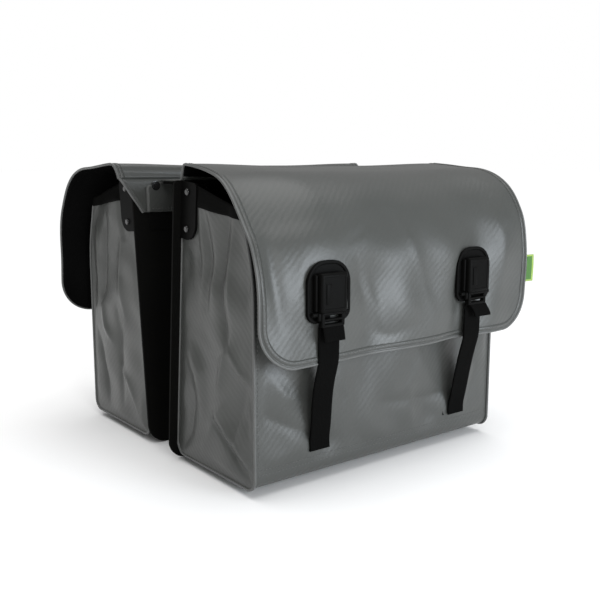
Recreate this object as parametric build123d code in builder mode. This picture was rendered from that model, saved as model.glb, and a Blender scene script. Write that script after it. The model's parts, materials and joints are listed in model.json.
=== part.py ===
from build123d import *
from math import atan2, cos, pi, sin, tan
import os

# A double pannier: two lidded bags of coated tarpaulin, joined by a bridge that lies on a
# rear carrier. X runs along the bicycle, Y across it and Z up. The origin is the centre of
# the bridge's underside, which is the face that rests on the carrier. Millimetres.
#
# The two bags are mirror images, and so are the two ends of each bag, so each piece is made
# once, on the far bag (+Y) or at its +X end, and mirrored. The flaps and the back boards sit
# a little off centre, to the same side as seen from each bag's front, so those are turned
# half round instead. A cross-section is drawn across the bicycle, in terms of reach (out
# from the middle plane) and height (up from the carrier).

# ---- overall sizes ----
bag_length = 380.0         # along the bicycle
bag_height = 326.0         # underside to the top of the rim
outer_reach = 202.0        # middle plane to a bag's outer wall
gap_top = 128.0            # between the two inner walls, level with the carrier
gap_bottom = 72.0          # between the two inner walls, at the bags' undersides
rim_height = 2.0           # the rim above the carrier

# ---- sheet materials ----
fabric = 1.6               # coated tarpaulin
board_thickness = 3.0      # plastic back board and base board
corner_radius = 14.0       # lengthwise bottom edges of a bag
band_thickness = 1.2       # stiff band round the opening
band_height = 30.0
piping = 3.0               # how far the seam piping stands proud
piping_width = 4.0

# ---- back board ----
board_overhang = 7.5       # past each end of the bag, on average
board_shift = 4.5          # the board's middle from the bag's, along the bag
board_drop = 10.0          # below the bag
board_top = 6.4            # above the carrier
board_radius = 25.0        # its bottom corners
board_top_radius = 5.0

# ---- corner brackets ----
bracket_thickness = 3.0
bracket_leg = 33.0         # along the end of the bag, from the back board
bracket_screw_reach = 15.0 # from the back board
bracket_height = 66.0
bracket_radius = 20.0
bracket_top_radius = 5.0
bracket_screw_rows = (-5.0, -47.0)

# ---- screws ----
screw_radius = 2.0
bracket_head_radius = 4.0
bridge_head_radius = 5.0
head_height = 2.4
nut_height = 3.0
nut_radius = 3.8
washer_radius = 6.0
washer_thickness = 0.8
bridge_screw_x = 161.0
bridge_screw_height = -3.0

# ---- bridge ----
bridge_length = 310.0
lining = 1.2               # fabric under and over the stiffener
stiffener = 2.2
bridge_radius = 12.0
fold_gap = 0.6             # between the bridge and the hanger at each fold
hanger_length = 350.0
hanger_depth = 36.0        # down the back board, from the carrier's level
hanger_top = -1.5
hanger_ear_top = 4.0       # the ears beside the bridge
hanger_ear_gap = 2.0

# ---- flap ----
flap_thickness = 2.2
flap_length = 416.0
flap_shift = 10.0          # the flap's middle from the bag's, along the bag
flap_reach = 232.0         # middle plane to the flap's front
flap_bottom = -185.0
ridge_rise = 27.0          # the ridge above the carrier, along the back board
flap_fall = 10.0           # the top's slope from the ridge to the shoulder
ridge_radius = 6.0
shoulder_radius = 58.0
flap_corner = 45.0
flap_foot = 6.8            # the flap's lower edge behind the rim
flap_play = 0.3            # between the flap and the back board
flap_bead = 3.0            # piping round the flap's free edges
bead_proud = 1.2           # piping beyond each face of the flap
strip_top = 5.2            # the sewn-down part of the flap's cloth
strip_half_top = 198.0
strip_half_bottom = 170.0

# ---- latches ----
latch_x = 115.0            # the middle of the bag to each strap
latch_height = -107.5
latch_half_width = 29.5
latch_half_height = 33.0
latch_foot_radius = 12.0   # the plate's lower corners
latch_top_radius = 25.0
latch_thickness = 3.5
rail_height = 4.0
rail_width = 3.0
rail_length = 39.0
rail_centre = -0.5         # below the middle of the plate
latch_screw_x = 17.0
latch_screw_z = 17.0
latch_screw_radius = 1.6
latch_screw_depth = 2.4    # into the plate
backing_thickness = 1.5
backing_margin = 2.0       # the backing inside the plate's outline

# ---- clips ----
clip_width = 36.0
clip_block = 42.0          # the raised block that sits between the rails
clip_base = 16.0           # the ladder base below it
clip_bottom = -145.0
clip_thickness = 9.0
clip_base_thickness = 7.0
clip_groove = 1.6
clip_play = 0.4            # to the latch plate and to each rail
ladder_slot = 3.2
ladder_slot_length = 30.0
clip_edge = 1.5

# ---- straps ----
webbing = 1.8
strap_width = 28.0
strap_foot = -282.0        # where the webbing leaves its stitching
anchor_height = 10.0
anchor_gap = 1.0           # below the webbing's free part
strap_play = 0.3           # between the webbing and the bag's wall
strap_standoff = 4.2       # from the flap's front to the webbing
strap_knee = -192.0        # just below the flap's edge
strap_knee_radius = 60.0
tail_length = 24.0

# ---- base board ----
base_play = 1.0            # round the base board

# ---- side tag ----
tag_width = 16.0
tag_height = 35.0
tag_centre = -110.0
tag_thickness = 1.8

# ---- worked out from the sizes above ----
bag_bottom = rim_height - bag_height
half_length = bag_length / 2
lean = atan2((gap_top - gap_bottom) / 2, -bag_bottom)
strip_outside = board_thickness + fabric
hanger_outside = strip_outside + fabric
bridge_height = lining + stiffener + lining
latch_front = flap_reach + latch_thickness
clip_back = latch_front + clip_play
end_outside = half_length + bracket_thickness

# The back board's plane: x along the bag, y up the wall, z towards the other bag.
wall = Plane(origin=(0, gap_top / 2, 0), x_dir=(1, 0, 0), z_dir=(0, -cos(lean), sin(lean)))


def wall_point(along, off):
    """Reach and height of a point up the inner wall and off it, towards the other bag."""
    reach = gap_top / 2 + along * sin(lean) - off * cos(lean)
    return reach, along * cos(lean) + off * sin(lean)


def inner_reach(height, inset):
    """Reach of the inner wall at a height, moved into the bag by inset."""
    return gap_top / 2 + height * tan(lean) + inset / cos(lean)


# The folds that everything turns about, as reach and height.
flap_axis = wall_point((flap_foot + strip_top) / 2 - 0.5, board_thickness + flap_play + flap_thickness / 2)
bridge_axis = wall_point(0.0, hanger_outside)
bridge_edge = bridge_axis[0] - fold_gap


def save(piece, name):
    """Label a piece and write it."""
    piece.label = name
    export_step(piece, "parts/" + name + ".step")


def save_pair(piece, name):
    """Write a piece of the far bag, and its mirror image on the near bag."""
    near_piece = mirror(piece, about=Plane.XZ, mode=Mode.PRIVATE)
    save(piece, "far_" + name)
    save(near_piece, "near_" + name)


def save_turned(piece, name):
    """Write a piece of the far bag, and the near bag's, turned half round."""
    near_piece = piece.rotate(Axis.Z, 180)
    save(piece, "far_" + name)
    save(near_piece, "near_" + name)


def save_four(piece, name):
    """Write a piece at the +X end of the far bag, and its three mirror images."""
    left_piece = mirror(piece, about=Plane.YZ, mode=Mode.PRIVATE)
    save_pair(piece, "right_" + name)
    save_pair(left_piece, "left_" + name)


def bag_slice(inset, top, x_low, x_high):
    """A slice of the solid bag, its walls moved in by inset and cut level at top."""
    floor = bag_bottom + inset
    reach = outer_reach - inset
    with BuildPart() as block:
        with BuildSketch(Plane.YZ.offset(x_low)):
            with BuildLine():
                walls = FilletPolyline(
                    (inner_reach(top, inset), top),
                    (inner_reach(floor, inset), floor),
                    (reach, floor),
                    (reach, top),
                    radius=corner_radius - inset,
                )
                Line(walls @ 1, walls @ 0)
            make_face()
        extrude(amount=x_high - x_low)
    return block.part


def bracket_pins(radius, x_low, x_high):
    """Cylinders along X through the +X end of the bag, at its bracket's screws."""
    with BuildPart() as pins:
        for along in bracket_screw_rows:
            reach, height = wall_point(along, -bracket_screw_reach)
            with BuildSketch(Plane.YZ.offset(x_low)):
                with Locations((reach, height)):
                    Circle(radius)
            extrude(amount=x_high - x_low)
    return pins.part


def bridge_pins(radius, low, high):
    """Cylinders square to the back board, at the bridge's two screws."""
    with BuildPart() as pins:
        with BuildSketch(wall.offset(low)):
            with Locations((bridge_screw_x, bridge_screw_height), (-bridge_screw_x, bridge_screw_height)):
                Circle(radius)
        extrude(amount=high - low)
    return pins.part


def flap_sheet(proud, margin):
    """The flap's bent sheet, thickened by proud on each face and widened at its free edges."""
    outside = board_thickness + flap_play + flap_thickness + proud
    ridge = wall_point(ridge_rise, outside)
    shoulder = (flap_reach + proud, ridge[1] - flap_fall)
    with BuildPart() as sheet:
        with BuildSketch(Plane.YZ):
            with BuildLine():
                FilletPolyline(
                    wall_point(flap_foot, outside),
                    ridge,
                    shoulder,
                    (flap_reach + proud, flap_bottom - margin),
                    radius=[ridge_radius + proud, shoulder_radius + proud],
                )
                offset(amount=flap_thickness + 2 * proud, side=Side.RIGHT)
            make_face()
        extrude(amount=flap_length / 2 + margin, both=True)
        corners = sheet.edges().filter_by(Axis.Y).group_by(Axis.Z)[0]
        fillet(corners, radius=flap_corner + margin)
    return Pos(-flap_shift, 0, 0) * sheet.part


def front_plane(x, reach, height):
    """A plane across the front of the bag: x along the bag, y up and z outwards."""
    return Plane(origin=(x, reach, height), x_dir=(-1, 0, 0), z_dir=(0, 1, 0))


os.makedirs("parts", exist_ok=True)

# ---- bag: the wrap is its outer wall, bottom and inner wall in one run of cloth ----
with BuildPart() as body_wrap:
    add(bag_slice(0, rim_height, -half_length, half_length))
    add(bag_slice(fabric, rim_height + 1, -half_length - 1, half_length + 1), mode=Mode.SUBTRACT)
    add(bridge_pins(screw_radius, -2 * fabric, fabric), mode=Mode.SUBTRACT)
save_pair(body_wrap.part, "body_wrap")

with BuildPart() as gusset:
    add(bag_slice(fabric, rim_height, half_length - fabric, half_length))
    add(bracket_pins(screw_radius, half_length - 2 * fabric, half_length + fabric), mode=Mode.SUBTRACT)
save_four(gusset.part, "gusset")

with BuildPart() as seam_piping:
    piping_top = rim_height - band_height
    add(bag_slice(-piping, piping_top, half_length - piping_width, half_length))
    add(bag_slice(0, piping_top + 1, 0, half_length + 1), mode=Mode.SUBTRACT)
    split(bisect_by=wall, keep=Keep.BOTTOM)
    mirror(about=Plane.YZ)
save_pair(seam_piping.part, "seam_piping")

# ---- back board, outside the inner wall, and base board, inside the bottom ----
with BuildPart() as back_board:
    low = (bag_bottom - board_drop) / cos(lean)
    high = board_top / cos(lean)
    with BuildSketch(wall):
        with Locations((board_shift, (low + high) / 2)):
            Rectangle(bag_length + 2 * board_overhang, high - low)
        fillet(vertices().group_by(Axis.Y)[0], board_radius)
        fillet(vertices().group_by(Axis.Y)[-1], board_top_radius)
    extrude(amount=board_thickness)
    add(bridge_pins(screw_radius, -1, board_thickness + 1), mode=Mode.SUBTRACT)
save_turned(back_board.part, "back_board")

with BuildPart() as base_board:
    inner_curve = corner_radius / tan((pi / 2 - lean) / 2)
    base_inner = inner_reach(bag_bottom, 0) + inner_curve + base_play
    base_outer = outer_reach - corner_radius - base_play
    with BuildSketch(Plane.XY.offset(bag_bottom + fabric)):
        with Locations((0, (base_inner + base_outer) / 2)):
            RectangleRounded(bag_length - 2 * (fabric + base_play), base_outer - base_inner, 8)
    extrude(amount=board_thickness)
save_pair(base_board.part, "base_board")

# ---- corner bracket: a plate on the end of the bag, against the back board's overhang ----
bracket_top = board_top / cos(lean)
bracket_low = bracket_top - bracket_height
with BuildPart() as bracket:
    with BuildSketch(wall.offset(-bracket_leg)):
        with Locations((half_length, bracket_low)):
            Rectangle(bracket_thickness, bracket_height, align=(Align.MIN, Align.MIN))
    extrude(amount=bracket_leg)
    leg_edges = bracket.edges().filter_by(Axis.X)
    fillet(leg_edges.group_by(Axis.Z)[0].sort_by(Axis.Y)[-1], bracket_radius)
    leg_edges = bracket.edges().filter_by(Axis.X)
    top_corner = wall.from_local_coords((half_length, bracket_top, -bracket_leg))
    fillet(leg_edges.sort_by_distance(top_corner)[0], bracket_top_radius)
    add(bracket_pins(screw_radius, half_length - 1, end_outside + 1), mode=Mode.SUBTRACT)
save_four(bracket.part, "bracket")

with BuildPart() as bracket_screws:
    add(bracket_pins(screw_radius, half_length - fabric - nut_height, end_outside))
    add(bracket_pins(bracket_head_radius, end_outside, end_outside + head_height))
    head_rims = bracket_screws.edges().filter_by(GeomType.CIRCLE).group_by(Axis.X)[-1]
    fillet(head_rims, head_height * 0.6)
    for along in bracket_screw_rows:
        reach, height = wall_point(along, -bracket_screw_reach)
        with BuildSketch(Plane.YZ.offset(half_length - fabric - nut_height)):
            with Locations((reach, height)):
                RegularPolygon(nut_radius, 6)
        extrude(amount=nut_height)
    mirror(about=Plane.YZ)
save_pair(bracket_screws.part, "bracket_screws")

# ---- stiff band round the opening, stopping at the brackets and at the back board ----
with BuildPart() as rim_band:
    end = half_length + band_thickness
    add(bag_slice(-band_thickness, rim_height, -end, end))
    add(bag_slice(0, rim_height + 1, -half_length, half_length), mode=Mode.SUBTRACT)
    split(bisect_by=Plane.XY.offset(rim_height - band_height), keep=Keep.TOP)
    split(bisect_by=wall.offset(-bracket_leg), keep=Keep.BOTTOM)
save_pair(rim_band.part, "rim_band")

# ---- bridge, and the hanger that it folds into on each back board ----
bridge_layers = (
    ("bridge_lining", 0.0, lining),
    ("bridge_stiffener", lining, stiffener),
    ("bridge_panel", lining + stiffener, lining),
)
for layer_name, layer_height, layer_thickness in bridge_layers:
    with BuildPart() as layer:
        with BuildSketch(Plane.XY.offset(layer_height)):
            RectangleRounded(bridge_length, 2 * bridge_edge, bridge_radius)
        extrude(amount=layer_thickness)
    save(layer.part, layer_name)

with BuildPart() as hanger:
    ear_start = bridge_length / 2 + hanger_ear_gap
    ear_width = hanger_length / 2 - ear_start
    ear_height = hanger_ear_top - hanger_top
    ear_middle = (hanger_ear_top + hanger_top) / 2
    with BuildSketch(wall.offset(strip_outside)):
        with Locations((0, (hanger_top - hanger_depth) / 2)):
            Rectangle(hanger_length, hanger_depth + hanger_top)
        with Locations((ear_start + ear_width / 2, ear_middle), (-ear_start - ear_width / 2, ear_middle)):
            Rectangle(ear_width, ear_height)
        fillet(vertices().group_by(Axis.Y)[0], 6)
        fillet(vertices().group_by(Axis.Y)[-1], 2)
    extrude(amount=fabric)
    add(bridge_pins(screw_radius, 0, 2 * hanger_outside), mode=Mode.SUBTRACT)
save_pair(hanger.part, "hanger")

with BuildPart() as bridge_screws:
    washer_face = hanger_outside + washer_thickness
    add(bridge_pins(screw_radius, -fabric - nut_height, washer_face))
    add(bridge_pins(washer_radius, hanger_outside, washer_face))
    add(bridge_pins(bridge_head_radius, washer_face, washer_face + head_height))
    with BuildSketch(wall.offset(-fabric - nut_height)):
        with Locations((bridge_screw_x, bridge_screw_height), (-bridge_screw_x, bridge_screw_height)):
            RegularPolygon(nut_radius, 6)
    extrude(amount=nut_height)
save_pair(bridge_screws.part, "bridge_screws")

# ---- flap: a strip sewn down on the back board, and the bent sheet that opens ----
with BuildPart() as rear_strip:
    with BuildSketch(wall.offset(board_thickness)):
        with BuildLine():
            Polyline(
                (-strip_half_bottom - flap_shift, -hanger_depth),
                (strip_half_bottom - flap_shift, -hanger_depth),
                (strip_half_top - flap_shift, strip_top),
                (-strip_half_top - flap_shift, strip_top),
                close=True,
            )
        make_face()
    extrude(amount=fabric)
    add(bridge_pins(screw_radius, 0, 2 * hanger_outside), mode=Mode.SUBTRACT)
save_turned(rear_strip.part, "rear_strip")


def latch_outline(inset):
    """The plate's outline, drawn in by inset: rounded more at the top than at the foot."""
    width = 2 * (latch_half_width - inset)
    with BuildSketch() as outline:
        Rectangle(width, 2 * (latch_half_height - inset))
        fillet(outline.vertices().group_by(Axis.Y)[0], latch_foot_radius - inset)
        fillet(outline.vertices().group_by(Axis.Y)[-1], latch_top_radius - inset)
    return outline.sketch


def latch_screw_holes(reach_low, reach_high, radius):
    """Cylinders square to the flap's front, at the four screws of the +X latch."""
    with BuildPart() as pins:
        with BuildSketch(front_plane(latch_x, reach_low, latch_height)):
            with GridLocations(2 * latch_screw_x, 2 * latch_screw_z, 2, 2):
                Circle(radius)
        extrude(amount=reach_high - reach_low)
    return pins.part


flap_inside = flap_reach - flap_thickness
backing_inside = flap_inside - backing_thickness
blind_end = flap_reach + latch_screw_depth
right_holes = latch_screw_holes(backing_inside - 1, blind_end, latch_screw_radius)
left_holes = mirror(right_holes, about=Plane.YZ, mode=Mode.PRIVATE)

with BuildPart() as flap:
    add(flap_sheet(0, 0))
    add(right_holes, mode=Mode.SUBTRACT)
    add(left_holes, mode=Mode.SUBTRACT)
save_turned(flap.part, "flap")

with BuildPart() as flap_piping:
    add(flap_sheet(bead_proud, flap_bead))
    add(flap_sheet(bead_proud + 1, 0), mode=Mode.SUBTRACT)
save_turned(flap_piping.part, "flap_piping")

# ---- latch: a round-topped plate with two rails, screwed through the flap to a backing ----
with BuildPart() as latch:
    with BuildSketch(front_plane(latch_x, flap_reach, latch_height)):
        add(latch_outline(0))
    extrude(amount=latch_thickness)
    plate_rim = latch.edges().group_by(Axis.Y)[-1]
    fillet(plate_rim, latch_thickness * 0.4)
    rail_x = clip_width / 2 + clip_play + rail_width / 2
    with BuildSketch(front_plane(latch_x, flap_reach, latch_height + rail_centre)):
        with Locations((rail_x, 0), (-rail_x, 0)):
            RectangleRounded(rail_width, rail_length, 1.2)
    extrude(amount=latch_thickness + rail_height)
    add(right_holes, mode=Mode.SUBTRACT)
save_four(latch.part, "latch")

with BuildPart() as latch_backings:
    with BuildSketch(front_plane(latch_x, backing_inside, latch_height)):
        add(latch_outline(backing_margin))
    extrude(amount=backing_thickness)
    add(right_holes, mode=Mode.SUBTRACT)
    mirror(about=Plane.YZ)
save_pair(latch_backings.part, "latch_backings")

with BuildPart() as latch_screws:
    add(latch_screw_holes(backing_inside, blind_end, latch_screw_radius))
    add(latch_screw_holes(backing_inside - 1.4, backing_inside, 2 * latch_screw_radius))
    mirror(about=Plane.YZ)
save_pair(latch_screws.part, "latch_screws")

# ---- clip: a raised block above a ladder base, on the end of the webbing ----
with BuildPart() as clip:
    block_low = clip_bottom + clip_base
    with BuildSketch(front_plane(latch_x, clip_back, block_low)):
        with Locations((0, clip_groove)):
            Rectangle(clip_width, clip_block - clip_groove, align=(Align.CENTER, Align.MIN))
    extrude(amount=clip_thickness)
    block_rim = clip.edges().group_by(Axis.Y)[-1]
    fillet(block_rim, clip_edge)
    with BuildSketch(front_plane(latch_x, clip_back, clip_bottom)):
        Rectangle(clip_width - 1, clip_base + clip_groove + clip_edge, align=(Align.CENTER, Align.MIN))
    extrude(amount=clip_base_thickness)
    slot_rows = (clip_base * 0.32, clip_base * 0.74)
    with BuildSketch(front_plane(latch_x, clip_back - 1, clip_bottom)):
        with Locations(*[(0, row) for row in slot_rows]):
            SlotOverall(ladder_slot_length, ladder_slot)
    extrude(amount=clip_thickness + 2, mode=Mode.SUBTRACT)
save_four(clip.part, "clip")

# ---- strap: webbing from its stitching up to the clip, and the tail that comes back out ----
with BuildPart() as strap:
    webbing_inside = flap_reach + strap_standoff
    with BuildSketch(Plane.YZ.offset(latch_x - strap_width / 2)):
        with BuildLine():
            FilletPolyline(
                (outer_reach + strap_play, strap_foot),
                (webbing_inside, strap_knee),
                (webbing_inside, clip_bottom),
                radius=strap_knee_radius,
            )
            offset(amount=webbing, side=Side.RIGHT)
        make_face()
    extrude(amount=strap_width)
    tail_reach = clip_back + clip_base_thickness
    with BuildSketch(front_plane(latch_x, tail_reach, clip_bottom + clip_base / 2)):
        Rectangle(strap_width, tail_length, align=(Align.CENTER, Align.MAX))
    extrude(amount=2 * webbing)
save_four(strap.part, "strap")

with BuildPart() as strap_anchors:
    with BuildSketch(front_plane(latch_x, outer_reach, strap_foot - anchor_gap)):
        Rectangle(strap_width, anchor_height, align=(Align.CENTER, Align.MAX))
    extrude(amount=webbing)
    mirror(about=Plane.YZ)
save_pair(strap_anchors.part, "strap_anchors")

# ---- side tag, a folded label on the near flap's +X edge only ----
with BuildPart() as side_tag:
    tag_start = flap_length / 2 + flap_bead + flap_shift
    with Locations((tag_start, -flap_reach + (flap_thickness - tag_thickness) / 2, tag_centre)):
        Box(tag_width, tag_thickness, tag_height, align=(Align.MIN, Align.MIN, Align.CENTER))
save(side_tag.part, "near_side_tag")

print("flap axis: reach %.3f height %.3f" % flap_axis)
print("bridge fold: reach %.3f height %.3f" % bridge_axis)
print("bag bottom %.1f, lean %.5f rad" % (bag_bottom, lean))
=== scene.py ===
"""A double bicycle pannier: two lidded bags of grey tarpaulin joined by a bridge over the carrier.

X runs along the bicycle, Y across it and Z up, in metres. A cross-section is drawn in reach, the
distance out from the middle plane, and height above the carrier.
"""

import json
import logging
import math
import random
from abc import ABC, abstractmethod
from collections.abc import Callable, Sequence
from dataclasses import dataclass, field
from enum import Enum

import bmesh
import bpy
import numpy as np
from mathutils import Matrix, Vector

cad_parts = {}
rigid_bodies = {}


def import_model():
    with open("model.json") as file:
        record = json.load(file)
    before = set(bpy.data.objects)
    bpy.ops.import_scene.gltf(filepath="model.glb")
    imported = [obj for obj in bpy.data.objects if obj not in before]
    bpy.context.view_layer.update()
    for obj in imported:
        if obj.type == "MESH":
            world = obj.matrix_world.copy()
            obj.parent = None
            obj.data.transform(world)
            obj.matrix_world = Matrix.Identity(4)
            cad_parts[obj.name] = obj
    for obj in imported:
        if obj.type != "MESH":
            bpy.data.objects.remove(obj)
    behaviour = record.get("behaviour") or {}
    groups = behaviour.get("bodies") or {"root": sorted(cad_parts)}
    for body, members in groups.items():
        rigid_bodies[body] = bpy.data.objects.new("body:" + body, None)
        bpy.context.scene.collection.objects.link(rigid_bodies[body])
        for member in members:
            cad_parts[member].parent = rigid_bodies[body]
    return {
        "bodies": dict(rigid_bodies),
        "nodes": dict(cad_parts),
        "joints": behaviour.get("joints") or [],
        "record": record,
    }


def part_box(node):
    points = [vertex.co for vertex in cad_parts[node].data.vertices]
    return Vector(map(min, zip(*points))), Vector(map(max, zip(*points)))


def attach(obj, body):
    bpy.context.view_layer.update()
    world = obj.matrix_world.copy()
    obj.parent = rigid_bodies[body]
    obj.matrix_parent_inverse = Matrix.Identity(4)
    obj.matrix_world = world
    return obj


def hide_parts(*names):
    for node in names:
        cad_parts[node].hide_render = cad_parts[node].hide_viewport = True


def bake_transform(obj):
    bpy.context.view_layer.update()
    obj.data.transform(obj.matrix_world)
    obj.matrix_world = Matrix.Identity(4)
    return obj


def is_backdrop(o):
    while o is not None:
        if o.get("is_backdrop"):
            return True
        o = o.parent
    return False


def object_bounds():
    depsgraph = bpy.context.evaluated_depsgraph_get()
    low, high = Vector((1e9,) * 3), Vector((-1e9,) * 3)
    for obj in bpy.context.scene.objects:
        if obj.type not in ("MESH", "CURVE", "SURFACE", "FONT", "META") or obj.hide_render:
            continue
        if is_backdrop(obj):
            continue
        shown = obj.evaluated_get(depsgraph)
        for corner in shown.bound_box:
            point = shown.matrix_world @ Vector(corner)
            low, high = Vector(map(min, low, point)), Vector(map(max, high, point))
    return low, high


LOG = logging.getLogger("pannier")
MM = 0.001
CLOTH_UV = "cloth"
CREASE_DEPTH = 1.5 * MM  # a crease of height 1
GAP_TOP = 128 * MM  # between the two inner walls, level with the carrier
LEAN = math.atan2(28.0, 324.0)  # of an inner wall, which goes 28 mm in over its 324 mm
LID_FOOT = (60.0 * MM, 6.6 * MM)  # where the lid's fold starts: reach and height
WAVE_COUNT = 7  # in an undulation

Colour = tuple[float, float, float]
Triple = tuple[float, float, float]
Corner = tuple[float, float]
Region = Callable[[np.ndarray, np.ndarray], tuple[np.ndarray, np.ndarray]]
Relief = Callable[[np.ndarray, np.ndarray], np.ndarray]


class Side(Enum):
    """Which bag: the near one at -Y or the far one at +Y."""

    NEAR = -1
    FAR = 1

    @property
    def word(self) -> str:
        """The side's name in the names of pieces and bodies."""
        return self.name.lower()


class End(Enum):
    """Which end of a bag: left at -X or right at +X."""

    LEFT = -1
    RIGHT = 1

    @property
    def word(self) -> str:
        """The end's name in the names of pieces and bodies."""
        return self.name.lower()


# ---------------------------------------------------------------- finishes


class NodeSheet:
    """A material's node tree, with its Principled shader at hand."""

    def __init__(self, name: str) -> None:
        """Makes the material.

        Args:
            name: The material's name.
        """
        self.material = bpy.data.materials.new(name)
        self.material.use_nodes = True
        self.tree = self.material.node_tree
        self.shader = self.tree.nodes["Principled BSDF"]

    def add(self, kind: str, **settings: object) -> bpy.types.Node:
        """Adds a node.

        Args:
            kind: The node's type.
            **settings: Properties of the node.

        Returns:
            The new node.
        """
        node = self.tree.nodes.new(kind)
        for key, value in settings.items():
            setattr(node, key, value)
        return node

    def link(self, source: bpy.types.NodeSocket, target: bpy.types.NodeSocket) -> None:
        """Joins an output to an input."""
        self.tree.links.new(source, target)

    def noise(self, place: bpy.types.NodeSocket, scale: float, detail: float = 3.0) -> bpy.types.NodeSocket:
        """Adds a noise texture.

        Args:
            place: The coordinates it reads.
            scale: Its scale, in features a metre.
            detail: How many octaves it has.

        Returns:
            Its value, from 0 to 1.
        """
        node = self.add("ShaderNodeTexNoise")
        node.inputs["Scale"].default_value = scale
        node.inputs["Detail"].default_value = detail
        self.link(place, node.inputs["Vector"])
        return node.outputs["Fac"]

    def wave(
        self, place: bpy.types.NodeSocket, pitch: float, direction: str, distortion: float = 0.0
    ) -> bpy.types.NodeSocket:
        """Adds parallel waves.

        Args:
            place: The coordinates they read.
            pitch: From crest to crest, in metres.
            direction: The axis they are square to, X, Y or DIAGONAL.
            distortion: How much they wander.

        Returns:
            Their value, from 0 to 1.
        """
        node = self.add("ShaderNodeTexWave", wave_type="BANDS", bands_direction=direction)
        node.inputs["Scale"].default_value = math.pi / 10 / pitch
        node.inputs["Distortion"].default_value = distortion
        node.inputs["Detail"].default_value = 1.0
        self.link(place, node.inputs["Vector"])
        return node.outputs["Fac"]

    def maths(self, operation: str, first: object, second: object) -> bpy.types.NodeSocket:
        """Adds a Math node.

        Args:
            operation: What it does.
            first: A socket or a number.
            second: A socket or a number.

        Returns:
            Its result.
        """
        node = self.add("ShaderNodeMath", operation=operation)
        for socket, value in zip(node.inputs, (first, second)):
            if isinstance(value, bpy.types.NodeSocket):
                self.link(value, socket)
            else:
                socket.default_value = value
        return node.outputs[0]

    def mix(self, share: bpy.types.NodeSocket, first: Colour, second: Colour) -> bpy.types.NodeSocket:
        """Mixes two colours.

        Args:
            share: How much of the second colour.
            first: The colour at 0.
            second: The colour at 1.

        Returns:
            The mixed colour.
        """
        node = self.add("ShaderNodeMix", data_type="RGBA")
        self.link(share, node.inputs["Factor"])
        colours = {"A": first, "B": second}
        for socket in node.inputs:
            if socket.type == "RGBA":
                socket.default_value = (*colours[socket.name], 1.0)
        return next(s for s in node.outputs if s.type == "RGBA")


@dataclass(frozen=True)
class Finish:
    """A matt or satin finish: two close colours mixed in patches, with a fine grain."""

    name: str
    light: Colour
    dark: Colour
    roughness: float = 0.5
    specular: float = 0.5
    metallic: float = 0.0
    patch: float = 14.0
    grain: float = 1400.0
    height: float = 0.00004

    def material(self) -> bpy.types.Material:
        """Returns the finish's material, made the first time it is asked for."""
        found = bpy.data.materials.get(self.name)
        if found:
            return found
        sheet = NodeSheet(self.name)
        place = sheet.add("ShaderNodeTexCoord")
        share = self.colour_share(sheet, place)
        sheet.link(sheet.mix(share, self.dark, self.light), sheet.shader.inputs["Base Color"])
        sheet.shader.inputs["Roughness"].default_value = self.roughness
        sheet.shader.inputs["Specular IOR Level"].default_value = self.specular
        sheet.shader.inputs["Metallic"].default_value = self.metallic
        bump = sheet.add("ShaderNodeBump")
        bump.inputs["Strength"].default_value = 1.0
        bump.inputs["Distance"].default_value = self.height
        sheet.link(self.relief(sheet, place), bump.inputs["Height"])
        sheet.link(bump.outputs["Normal"], sheet.shader.inputs["Normal"])
        return sheet.material

    def colour_share(self, sheet: NodeSheet, place: bpy.types.Node) -> bpy.types.NodeSocket:
        """Returns the share of the lighter colour."""
        return sheet.noise(place.outputs["Object"], self.patch, 4.0)

    def relief(self, sheet: NodeSheet, place: bpy.types.Node) -> bpy.types.NodeSocket:
        """Returns the height of the surface's fine texture."""
        return sheet.noise(place.outputs["Object"], self.grain, 2.0)


@dataclass(frozen=True)
class Tarpaulin(Finish):
    """Coated cloth: the plain weave shows through the coating, with a faint diagonal ripple."""

    thread: float = 0.0013
    ripple: float = 0.0046
    wander: float = 1.6
    rough_scale: float = 160.0
    weave_height: float = 0.45
    ripple_height: float = 1.1
    rough_height: float = 1.4

    def relief(self, sheet: NodeSheet, place: bpy.types.Node) -> bpy.types.NodeSocket:
        """Returns the weave's height."""
        cloth = place.outputs["UV"]
        warp = sheet.wave(cloth, self.thread, "X")
        weft = sheet.wave(cloth, self.thread, "Y")
        weave = sheet.maths("ADD", warp, weft)
        ripple = sheet.wave(cloth, self.ripple, "DIAGONAL", self.wander)
        rough = sheet.noise(place.outputs["Object"], self.rough_scale, 3.0)
        rippled = sheet.maths("MULTIPLY", ripple, self.ripple_height)
        broad = sheet.maths("ADD", rippled, sheet.maths("MULTIPLY", rough, self.rough_height))
        return sheet.maths("ADD", sheet.maths("MULTIPLY", weave, self.weave_height), broad)


@dataclass(frozen=True)
class Webbing(Finish):
    """Woven strap: ribs along it and picks across it."""

    rib: float = 0.0021
    pick: float = 0.0012
    pick_height: float = 0.6

    def relief(self, sheet: NodeSheet, place: bpy.types.Node) -> bpy.types.NodeSocket:
        """Returns the weave's height."""
        cloth = place.outputs["UV"]
        ribs = sheet.wave(cloth, self.rib, "X")
        picks = sheet.wave(cloth, self.pick, "Y")
        return sheet.maths("ADD", ribs, sheet.maths("MULTIPLY", picks, self.pick_height))


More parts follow.
